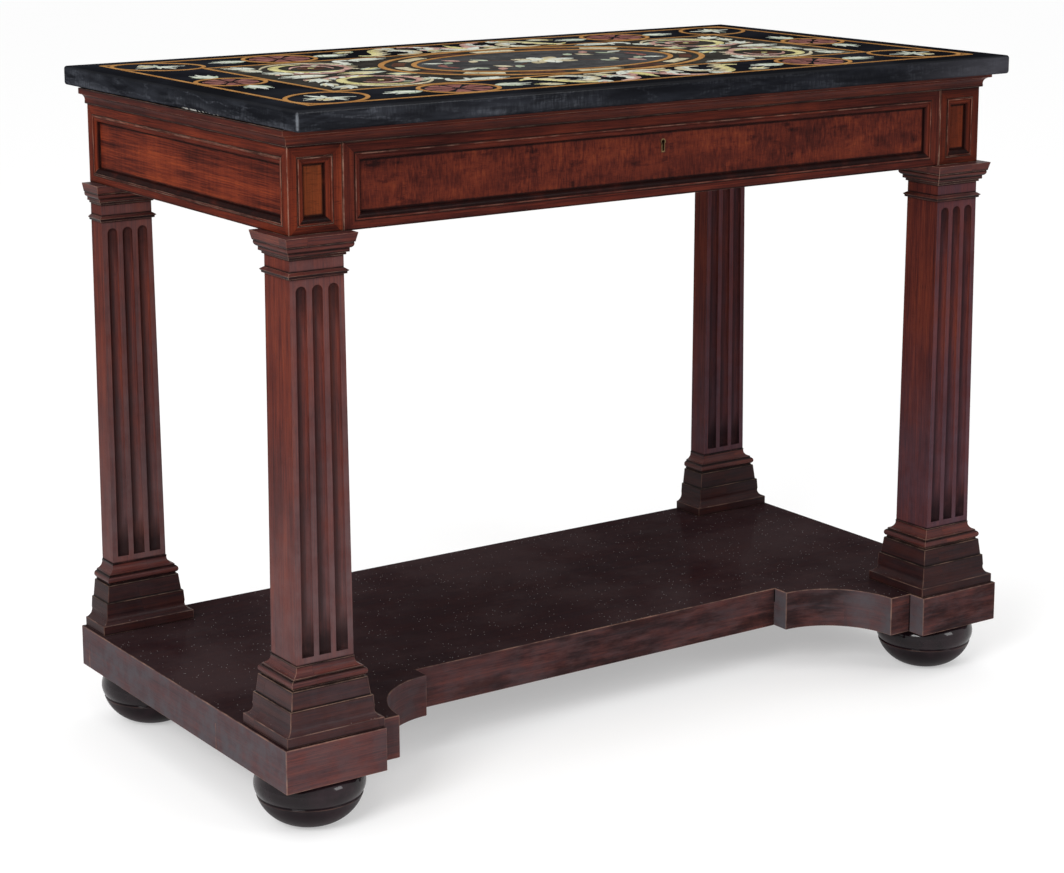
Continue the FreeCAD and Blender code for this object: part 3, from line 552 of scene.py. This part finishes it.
front_wood = framed_panel("mahogany_drawer_front", "drawer_panel_moulding", "X", 17.5, flame, 0.88,
                          (1.0, 0.95, 0.85), worn_piece="drawer_front")
eased("drawer_front", 0.0007, front_wood, body="drawer", shortest=0.004)
eased("drawer_panel_moulding", 0.0004, front_wood, body="drawer")
for name in ("drawer_side_left", "drawer_side_right"):
    eased(name, 0.0008, raw_crossways, body="drawer")
left_as_made("drawer_bottom", raw_lengthways)
eased("drawer_back", 0.0008, raw_lengthways, body="drawer")


# Lock
# A brass-lined keyhole, and behind it an iron lock case screwed to the drawer front.
# Its steel bolt rises into the rail above.

def metal(name, dark, light, rough, along):
    """Filed metal with patchy tarnish, its file strokes along one axis."""
    made, place = begin(name)
    strokes = mottle(stretched(place, drawn_out(along, 0.02, 0.0006)), 1, 2)
    tarnish = mottle(place, 0.008, 4, 0.65)
    colour = tint(between(tarnish, 0.35, 0.7), light, dark)
    return polish(made, place, colour, rough + 0.2 * tarnish, strokes, 0.00003, {"Metallic": 1.0})


brass = metal("brass_liner", (0.05, 0.03, 0.016), (0.17, 0.105, 0.05), 0.4, "Z")
iron = metal("black_iron", (0.025, 0.02, 0.018), (0.10, 0.095, 0.09), 0.45, "X")
steel = metal("bright_steel", (0.22, 0.21, 0.20), (0.50, 0.50, 0.49), 0.25, "Z")
left_as_made("keyhole_escutcheon", brass)
left_as_made("lock_case", iron)
left_as_made("lock_bolt", steel)


# Bed moulding
# The mahogany moulding that steps out from the frieze to the slab, mitred at the front corners
# and glued round the top of the frieze.

slab_low, slab_top = [end.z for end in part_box("marble_slab")]
# Dark lines at its foot and right under the slab are dirt and a painted shadow.
bed = {"gloss": 0.26, "joins": (bed_low, slab_low)}
bed_front_wood = plain_mahogany("mahogany_bed_front", "X", 19.3, shade=0.72, wear=0.6, sheen=0.06, **bed)
bed_side_wood = plain_mahogany("mahogany_bed_sides", "Y", 20.6, shade=0.62, wear=0.5, sheen=0.012, **bed)
eased("bed_moulding_front", 0.0006, bed_front_wood)
for side in ("left", "right"):
    eased(f"bed_moulding_{side}", 0.0006, bed_side_wood)


# Stone slab
# A slab of black stone with rounded upper edges, polished on top and left greyer on its edges,
# where it is scuffed and chipped. It lies on the frieze by its own weight.

slab_right, slab_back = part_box("marble_slab")[1].xy
deep_black = (0.0034, 0.0037, 0.0052)
black_stone, place = begin("black_stone")
along, deep, height = axes(place)
edge = between(height, slab_top - 0.0038, slab_top - 0.0008, 1.0, 0.0)
clouds = between(mottle(stretched(place, (0.16, 0.16, 0.03)), 1, 6, 0.62), 0.40, 0.72)
smears = between(mottle(stretched(place, (0.16, 0.16, 0.022), (0.4, 0.2, 0.9)), 1, 4, 0.55), 0.44, 0.68)
grit = between(mottle(stretched(place, (0.003, 0.003, 0.012)), 1, 3), 0.40, 0.66)
# The edges are painted greyer towards the left end and at the right end, with pale grey smears low on the
# left.
lower = between(height, slab_low + 0.003, slab_low + 0.019, 1.0, 0.35)
leftward = between(along, -0.5, 0.1, 1.0, 0.4)
greyed = between(along, -0.56, -0.05, 0.75, 0.05) * (0.35 + 0.65 * clouds)
colour = tint(clouds, deep_black, (0.0120, 0.0132, 0.0178))
colour = tint(edge * between(along, 0.32, 0.54) * 0.8, colour, (0.045, 0.044, 0.052))
colour = tint(edge * greyed, colour, (0.024, 0.026, 0.032))
colour = tint(edge * smears * lower * leftward * (0.12 + 0.24 * grit), colour, (0.105, 0.112, 0.130))
swirl = mottle(stretched(place, (0.12, 0.12, 0.020), (0.2, 0.9, 0.5)), 1, 5, 0.6)
streaks = between(abs(swirl - 0.5), 0.0, 0.04, 1.0, 0.0)
colour = tint(edge * streaks * leftward * (0.06 + 0.22 * grit), colour, (0.095, 0.102, 0.120))
blotches = between(mottle(stretched(place, (0.13, 0.13, 0.026), (0.7, 0.1, 0.3)), 1, 6, 0.6), 0.49, 0.57)
colour = tint(edge * blotches * leftward * 0.7, colour, deep_black)
left_face = between(along, 0.0005 - slab_right, 0.009 - slab_right, 1.0, 0.0)
knocked = between(abs(deep + 0.075), 0.035, 0.055, 1.0, 0.0) * left_face
foot_of_edge = between(height, slab_low + 0.0008, slab_low + 0.0035, 1.0, 0.0)
chips = between(mottle(place, 0.007, 3), 0.52, 0.57) * foot_of_edge
colour = tint(chips * knocked, colour, (0.62, 0.60, 0.56))
corner_reach = slab_right + slab_back
corner = between(abs(along) + abs(deep), corner_reach - 0.0035, corner_reach - 0.0015)
colour = tint(corner * between(mottle(place, 0.009), 0.35, 0.6, 0.3, 1.0) * 0.6, colour, (0.26, 0.28, 0.31))
colour = tint(worn_arris(place, 0.03) * 0.5, colour, (0.20, 0.21, 0.22))
scratches = mottle(stretched(place, (0.0012, 0.05, 0.01)), 1, 3)


def stone_gloss(place, shine):
    """A worn polish, which shines when looked down on and is dull at a low angle."""
    level = 1 - place.node("LayerWeight", {}, {"Blend": 0.5}, "Facing")
    return {"Coat Weight": shine * level * level, "Coat Roughness": 0.12, "Specular IOR Level": 0.0}


polish(black_stone, place, colour, 0.4 + 0.2 * clouds, smears * 0.5 + scratches * 0.2, 0.00008,
       stone_gloss(place, 0.5 - 0.4 * edge))
eased("marble_slab", 0.0006, black_stone)


# Inlaid top
# Slips of coloured marbles let into the slab: line borders, rings with rosettes, leaf sprays, scrolls
# of acanthus and a banded oval with flowers. They are cut thin, bedded in mastic and polished level.

stones = {}
ring_steps = 64
line_width = 4.8
ring_width = 5.5


def cuttings(stone):
    """The sheet that holds every slip cut from one stone, in millimetres on the slab's top."""
    if stone not in stones:
        stones[stone] = bmesh.new()
    return stones[stone]


def placed(shape, verts, at, turn=0.0, sizes=(1, 1), lift=0.0):
    """Lays a slip down, a hair higher or lower than the one before it."""
    hair = lift + 0.006 * (len(shape.faces) % 8)
    turned = Matrix.Rotation(turn, 4, "Z") @ Matrix.Diagonal((*sizes, 1, 1))
    bmesh.ops.transform(shape, matrix=Matrix.Translation((*at, hair)) @ turned, verts=verts)


def disc(stone, at, half_length, half_depth, segments=ring_steps):
    """A whole round or oval slip."""
    shape = cuttings(stone)
    verts = bmesh.ops.create_circle(shape, cap_ends=True, segments=segments, radius=1)["verts"]
    placed(shape, verts, at, 0, (half_length, half_depth))


def band(shape, verts, width):
    """Leaves only a band of that width along the outline of a flat piece, and gives its faces."""
    face = next(iter({face for vert in verts for face in vert.link_faces}))
    rim = bmesh.ops.inset_region(shape, faces=[face], thickness=width, use_boundary=True,
                                 use_even_offset=True)
    bmesh.ops.delete(shape, geom=[face], context="FACES_ONLY")
    return rim["faces"]


def rectangle(stone, half_length, half_depth):
    """A slip round the middle of the slab, and its points."""
    shape = cuttings(stone)
    verts = bmesh.ops.create_grid(shape, x_segments=1, y_segments=1, size=1)["verts"]
    placed(shape, verts, (0, 0), 0, (half_length, half_depth))
    return shape, verts


def ring(stone, at, half_length, half_depth, width, turn=0.0):
    """A round or oval band, laid a little higher than the slips it crosses, and its faces."""
    shape = cuttings(stone)
    verts = bmesh.ops.create_circle(shape, cap_ends=True, segments=ring_steps, radius=1)["verts"]
    placed(shape, verts, at, turn, (half_length, half_depth), 0.05)
    return shape, band(shape, verts, width)


def leaf(stone, at, length, width, turn, tip=0.25):
    """A leaf that grows from a point, widest at its middle, with a drawn-out tip."""
    shape = cuttings(stone)
    verts = bmesh.ops.create_circle(shape, cap_ends=True, segments=14, radius=0.5)["verts"]
    bmesh.ops.translate(shape, vec=(0.5, 0, 0), verts=verts)
    point = max(verts, key=lambda vert: vert.co.x)
    root = min(verts, key=lambda vert: vert.co.x)
    bmesh.ops.translate(shape, vec=(tip, 0, 0), verts=[point])
    bmesh.ops.translate(shape, vec=(-0.1, 0, 0), verts=[root])
    placed(shape, verts, at, turn, (length / (1.1 + tip), width))


def spray(outer, inner, middle, at, turn, length, spread=0.62):
    """Five leaves fanned out from one point, the middle one longest and on top."""
    for swing, share, stone in ((-1, 0.62, outer), (1, 0.62, outer), (-0.5, 0.84, inner),
                                (0.5, 0.84, inner), (0, 1.0, middle)):
        leaf(stone, at, length * share, length * 0.2, turn + swing * spread)


def petals(stone, at, inner, outer, number, gap):
    """A flower of equal petals with a thin dark line between them."""
    shape = cuttings(stone)
    sweep = 2 * pi / number - gap
    for petal in range(number):
        before = set(shape.verts)
        foot = bmesh.ops.create_vert(shape, co=(inner, 0, 0))["vert"][0]
        head = bmesh.ops.create_vert(shape, co=(outer, 0, 0))["vert"][0]
        side = shape.edges.new((foot, head))
        bmesh.ops.spin(shape, geom=[foot, head, side], cent=(0, 0, 0), axis=(0, 0, 1), angle=sweep, steps=6,
                       use_merge=False, use_duplicate=False)
        added = [vert for vert in shape.verts if vert not in before]
        placed(shape, added, at, petal * (sweep + gap) + gap / 2)


def arc(at, radius, first, last, halves):
    """Points of a scroll on part of a circle, from one angle to another, with half its width at each."""
    steps = len(halves) - 1
    turns = [radians(first + (last - first) * step / steps) for step in range(steps + 1)]
    return [(at[0] + radius * cos(turn), at[1] + radius * sin(turn), half)
            for turn, half in zip(turns, halves)]


def scroll(stone, points, lobes="", reach=0.0, every=4):
    """A scroll that swells and thins along a drawn line. Each point gives its place and half the width.
    Lobes of another stone may spring from its left side, or from its right where the reach is below zero."""
    line = bpy.data.curves.new("scroll", "CURVE")
    line.dimensions = "3D"
    line.twist_mode = "Z_UP"
    line.resolution_u = 6
    spline = line.splines.new("NURBS")
    spline.points.add(len(points) - 1)
    for knot, (right, back, half) in zip(spline.points, points):
        knot.co = (right, back, 0, 1)
        knot.radius = 0.8 * half
        knot.tilt = pi / 2
    spline.order_u = 3
    spline.use_endpoint_u = True
    holder = bpy.data.objects.new("scroll", line)
    bpy.context.collection.objects.link(holder)

    def drawn(width):
        line.extrude = width
        bpy.context.view_layer.update()
        shown = holder.evaluated_get(bpy.context.evaluated_depsgraph_get())
        return bpy.data.meshes.new_from_object(shown)

    path = drawn(0.0)
    way = [vert.co.copy() for vert in path.vertices]
    springs = list(zip(way, way[1:], way[2:]))[every - 1:-1:every] if lobes else ()
    slant = 0.95 if reach > 0 else -0.95
    for before, at, after in springs:
        ahead = atan2(after.y - before.y, after.x - before.x)
        leaf(lobes, at[:2], abs(reach), abs(reach) * 0.4, ahead + slant)
    ribbon = drawn(1.0)
    shape = cuttings(stone)
    before = set(shape.verts)
    shape.from_mesh(ribbon)
    placed(shape, [vert for vert in shape.verts if vert not in before], (0, 0))
    bpy.data.objects.remove(holder)
    bpy.data.curves.remove(line)
    bpy.data.meshes.remove(path)
    bpy.data.meshes.remove(ribbon)


# Line borders, with a slate ground inside the inner one.
rectangle("slate", 421, 166)
for half_length, half_depth in ((519, 278), (424, 169)):
    shape, verts = rectangle("ochre", half_length, half_depth)
    band(shape, verts, line_width)

# Rings with a small flower at the corners of the border.
for east in (-1, 1):
    for north in (-1, 1):
        middle = (east * 462, north * 221)
        flower = (east * 472, north * 236)
        ring("ochre", middle, 64, 50, ring_width, east * north * pi / 4)
        for way in (0.2, 1.3, 2.9, 4.4):
            leaf("white", middle, 40, 6, way * east)
            leaf("pale", middle, 30, 6, (way + 0.55) * east)
        petals("cream", flower, 4, 11, 5, 0.3)
        disc("yellow", flower, 4, 4, 12)


# Rosettes of red-brown stone round a dark eye, with leaf sprays on both sides.
def rosette(at, radius, along):
    ring("ochre", at, radius, radius, ring_width)
    petals("red", at, 9, radius - 11, 8, 0.24)
    for way in (along, along + pi):
        start = (at[0] + (radius + 3) * cos(way), at[1] + (radius + 3) * sin(way))
        spray("green", "pale", "white", start, way, 56)


for east in (-1, 1):
    rosette((east * 471, 0), 46, pi / 2)
    for north in (-1, 1):
        rosette((east * 280, north * 223), 52, 0)

# Acanthus in the middle of the long borders, and large scrolls between the inner border and the oval.
for east in (-1, 1):
    for north in (-1, 1):
        hand = east * north

        def laid(points):
            return [(east * right, north * back, half) for right, back, half in points]

        def turned(angle):
            return north * (radians(angle) if east > 0 else pi - radians(angle))

        def fan(outer, inner, middle, at, angle, length, spread=0.62):
            spray(outer, inner, middle, (east * at[0], north * at[1]), turned(angle), length, spread)

        scroll("yellow", laid(((172, 196, 2), (154, 178, 7), (134, 210, 11), (122, 252, 9), (98, 264, 3))),
               "cream", 24 * hand)
        scroll("cream", laid(((118, 182, 3), (92, 176, 8), (72, 204, 10), (84, 240, 9), (104, 238, 4))),
               "white", -22 * hand)
        scroll("pink", laid(((68, 268, 3), (40, 262, 8), (26, 234, 10), (44, 206, 9), (60, 218, 4))),
               "white", 22 * hand)
        scroll("cream", laid(((8, 180, 2), (24, 176, 6), (44, 186, 7), (64, 180, 3))))
        fan("pale", "white", "pink", (84, 250), 60, 36)
        fan("green", "cream", "yellow", (150, 258), 330, 40)
        fan("pale", "yellow", "cream", (58, 196), 150, 30)
        hub = (308, 88)
        scroll("cream", laid(arc(hub, 67, 165, 20, (1.5, 3, 5, 5, 4, 1.5))))
        scroll("pink", laid(arc(hub, 51, 105, 262, (2, 5, 8, 8, 6, 2))), "cream", -20 * hand, 7)
        scroll("yellow", laid(arc(hub, 51, 104, -108, (2, 5, 8, 9, 9, 7, 4, 7))))
        scroll("pink", laid(arc(hub, 29, 210, 10, (1.5, 3, 4.5, 4.5, 3, 1.5))))
        scroll("green", laid(((250, 112, 1.5), (268, 128, 4), (292, 118, 5), (296, 98, 2))))
        petals("brown", (east * hub[0], north * hub[1]), 4, 18, 6, 0.25)
        disc("yellow", (east * hub[0], north * hub[1]), 4.5, 4.5, 14)
        scroll("pink", laid(((286, 42, 3), (300, 24, 8), (336, 26, 8), (366, 44, 6), (388, 34, 3))), "white",
               22 * hand, 5)
        fan("cream", "white", "white", (366, 34), 62, 52)
        fan("pale", "cream", "white", (384, 84), 75, 44, 0.5)
        fan("pale", "white", "cream", (374, 122), 48, 50)
        fan("green", "pale", "yellow", (262, 30), 150, 40)
        scroll("white", laid(arc((226, 138), 17, 210, -70, (2, 6, 7, 6, 3))))
        fan("pale", "white", "white", (214, 148), 178, 62, 0.42)
        fan("green", "white", "pale", (238, 120), 300, 34)
    outward = 0 if east > 0 else pi
    leaf("pale", (east * 252, 0), 60, 24, outward)
    spray("pale", "yellow", "cream", (east * 262, 0), outward, 62, 0.55)
    spray("cream", "white", "white", (east * 338, 0), outward, 72, 0.5)
for north in (-1, 1):
    spray("white", "pink", "yellow", (0, north * 180), north * pi / 2, 84, 0.75)
    petals("cream", (0, north * 186), 3, 12, 6, 0.2)

# The oval: two ochre bands, blocks of marble between them, and a spray of flowers on grey.
ring("ochre", (0, 0), 239, 169, 8)
ring("ochre", (0, 0), 194, 128, 7)
block_length, block_depth, block_width = 221, 151, 17
for stone, first in (("cream", 0), ("brown", 4)):
    shape, blocks = ring(stone, (0, 0), block_length, block_depth, block_width)
    gaps = []
    for face in blocks:
        centre = face.calc_center_median()
        angle = atan2(centre.y / block_depth, centre.x / block_length)
        step = round(angle * ring_steps / 2 / pi - 0.5) + 2
        if (step - first) % 8 > 3 or step % 4 == 3:
            gaps.append(face)
    bmesh.ops.delete(shape, geom=gaps, context="FACES")
disc("grey", (0, 0), 190, 124)
for number in range(8):
    turn = number * pi / 4
    stone = "cream" if number % 2 else "white"
    length = 36 if number % 4 == 2 else 42
    leaf(stone, (9 * cos(turn), 6 * sin(turn)), length, 21, turn, 0.05)
disc("yellow", (0, 0), 12, 9, 20)
for east in (-1, 1):
    for north in (-1, 1):
        scroll("brown", [(east * right, north * back, half) for right, back, half in
                         ((34, 12, 2), (66, 42, 2.5), (104, 52, 2.5), (140, 40, 2), (152, 20, 1.5))])
        for right, back, turn, stone in (
                (66, 38, 60, "green"), (84, 46, 300, "cream"), (102, 52, 60, "pink"),
                (120, 48, 310, "green"), (136, 40, 20, "white"), (150, 22, 290, "red")):
            angle = radians(turn) if east > 0 else pi - radians(turn)
            leaf(stone, (east * right, north * back), 30, 13, angle * north)

marbles = {
    "slate": ((0.015, 0.0138, 0.0118), (0.038, 0.035, 0.030)),
    "grey": ((0.030, 0.030, 0.031), (0.062, 0.062, 0.063)),
    "red": ((0.13, 0.048, 0.043), (0.25, 0.11, 0.095)),
    "brown": ((0.042, 0.019, 0.013), (0.100, 0.047, 0.031)),
    "green": ((0.20, 0.24, 0.17), (0.42, 0.46, 0.35)),
    "pale": ((0.32, 0.36, 0.29), (0.52, 0.55, 0.46)),
    "pink": ((0.30, 0.165, 0.14), (0.50, 0.32, 0.27)),
    "yellow": ((0.42, 0.37, 0.15), (0.60, 0.56, 0.29)),
    "cream": ((0.34, 0.29, 0.18), (0.55, 0.50, 0.36)),
    "white": ((0.36, 0.38, 0.33), (0.59, 0.61, 0.54)),
    "ochre": ((0.27, 0.125, 0.038), (0.38, 0.20, 0.07))}
chip_size = 0.02
mastic_line = 1.4
slip_thickness = 0.0012
mastic, place = begin("black_mastic")
colour = tint(mottle(place, 0.004), (0.006, 0.006, 0.007), (0.016, 0.015, 0.015))
polish(mastic, place, colour, 0.4 + 0.2 * mottle(place, 0.01), mottle(place, 0.002), 0.00005,
       {"Specular IOR Level": 0.02})
unbroken = ("slate", "grey", "ochre")
for layer, (stone, (dark, light)) in enumerate(marbles.items()):
    made, place = begin(f"marble_{stone}")
    cloud = mottle(place, 0.03, 5, 0.65)
    vein = between(abs(mottle(place, 0.018, 4, 0.6) - 0.5), 0.0, 0.03, 1.0, 0.0)
    chips = {"Vector": place, "Scale": 1 / chip_size}
    chip = axes(place.node("TexVoronoi", {}, chips, "Color"))[0]
    joint = place.node("TexVoronoi", {"feature": "DISTANCE_TO_EDGE"}, chips, "Distance")
    colour = tint(0.6 * between(cloud, 0.35, 0.65) + 0.4 * chip, dark, light)
    if stone not in unbroken:
        colour = tint(between(joint, 0.008, 0.035, 0.55, 0.0), colour, (0.012, 0.011, 0.010))
    colour = tint(vein * 0.35, colour, [0.45 * value for value in dark])
    polish(made, place, colour, 0.3 + 0.14 * cloud, cloud, 0.00005, stone_gloss(place, 0.5))
    shape = stones[stone]
    if stone not in unbroken:
        lines = bmesh.ops.inset_region(shape, faces=shape.faces[:], thickness=mastic_line, use_boundary=True,
                                       use_outset=True)
        for face in lines["faces"]:
            face.material_index = 1
    bmesh.ops.scale(shape, vec=(0.001, 0.001, 0.001), verts=shape.verts)
    bmesh.ops.reverse_faces(shape, faces=[face for face in shape.faces if face.normal.z < 0])
    rise = 0.0001 + 0.00005 * layer
    bmesh.ops.translate(shape, vec=(0, 0, slab_top + rise), verts=shape.verts)
    mesh = bpy.data.meshes.new(f"inlay_{stone}")
    shape.to_mesh(mesh)
    shape.free()
    mesh.materials.append(made)
    mesh.materials.append(mastic)
    piece = bpy.data.objects.new(f"inlay_{stone}", mesh)
    bpy.context.collection.objects.link(piece)
    sunk = piece.modifiers.new("let_into_the_slab", "SOLIDIFY")
    sunk.thickness = slip_thickness
    sunk.offset = -1.0
    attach(piece, "carcass")


# Floor
# A plain white studio floor that keeps the table's soft shadow.

def in_sight(wire):
    """Whether a ray comes from the camera, straight or by a reflection."""
    seen = wire.node("LightPath", {}, {}, "Is Camera Ray")
    for ray in ("Is Glossy Ray", "Is Transmission Ray"):
        seen = seen.most(wire.node("LightPath", {}, {}, ray))
    return seen


floor_radius = 25
paper, place = begin("white_floor")
matt = place.node("BsdfDiffuse", {}, {"Color": (0.93, 0.93, 0.93, 1)})
bright = place.node("Emission", {}, {"Color": (1, 1, 1, 1), "Strength": 1.0})
mixed = place.node("MixShader", {}, {0: in_sight(place) * 0.4, 1: matt, 2: bright})
place.node("OutputMaterial", {}, {"Surface": mixed})
shape = bmesh.new()
bmesh.ops.create_circle(shape, cap_ends=True, segments=64, radius=floor_radius)
mesh = bpy.data.meshes.new("floor")
shape.to_mesh(mesh)
shape.free()
mesh.materials.append(paper)
floor = bpy.data.objects.new("floor", mesh)
bpy.context.collection.objects.link(floor)
floor.location.z = -0.0005


# Studio light
# A pale room, one large soft box high on the left, and a weaker one on the right.

room = bpy.data.worlds.new("pale_room")
bpy.context.scene.world = room
room.use_nodes = True
room.node_tree.nodes.clear()
sky = Wire(room.node_tree)
height = axes(sky.node("TexCoord", {}, {}, "Generated"))[2]
strength = between(height, -0.05, 1.0, 0.13, 1.38)
lit = sky.node("Background", {}, {"Color": (1, 1, 1, 1), "Strength": strength})
white = sky.node("Background", {}, {"Color": (1, 1, 1, 1), "Strength": 1.0})
mixed = sky.node("MixShader", {}, {0: in_sight(sky), 1: lit, 2: white})
sky.node("OutputWorld", {}, {"Surface": mixed})
aim = Vector((0, 0, 0.45))
for name, power, wide, high, spot in (("left_soft_box", 140, 1.8, 1.5, (-3.6, -2.2, 2.6)),
                                      ("right_soft_box", 50, 1.5, 1.4, (2.2, -4.2, 2.4))):
    lamp = bpy.data.lights.new(name, "AREA")
    lamp.shape = "RECTANGLE"
    lamp.size, lamp.size_y = wide, high
    lamp.energy = power
    box = bpy.data.objects.new(name, lamp)
    box.location = spot
    box.rotation_euler = (aim - Vector(spot)).to_track_quat("-Z", "Y").to_euler()
    bpy.context.collection.objects.link(box)


# Camera
# It stands to the left of the front, a little above the slab, and looks slightly down.

spot = (-1.9095, -2.7538, 1.2067)
yaw, dip, roll = 0.6011, 0.2047, -0.0027
ahead = Vector((sin(yaw) * cos(dip), cos(yaw) * cos(dip), -sin(dip)))
right = Vector((cos(yaw), -sin(yaw), 0))
above = right.cross(ahead)
right, above = cos(roll) * right + sin(roll) * above, cos(roll) * above - sin(roll) * right
view = bpy.data.cameras.new("camera")
view.lens = 84.59
view.sensor_width = 36
view.shift_y = -0.1
view.dof.use_dof = False
camera = bpy.data.objects.new("camera", view)
turned = Matrix((right, above, -ahead)).transposed().to_4x4()
camera.matrix_world = Matrix.Translation(spot) @ turned
bpy.context.collection.objects.link(camera)
bpy.context.scene.camera = camera
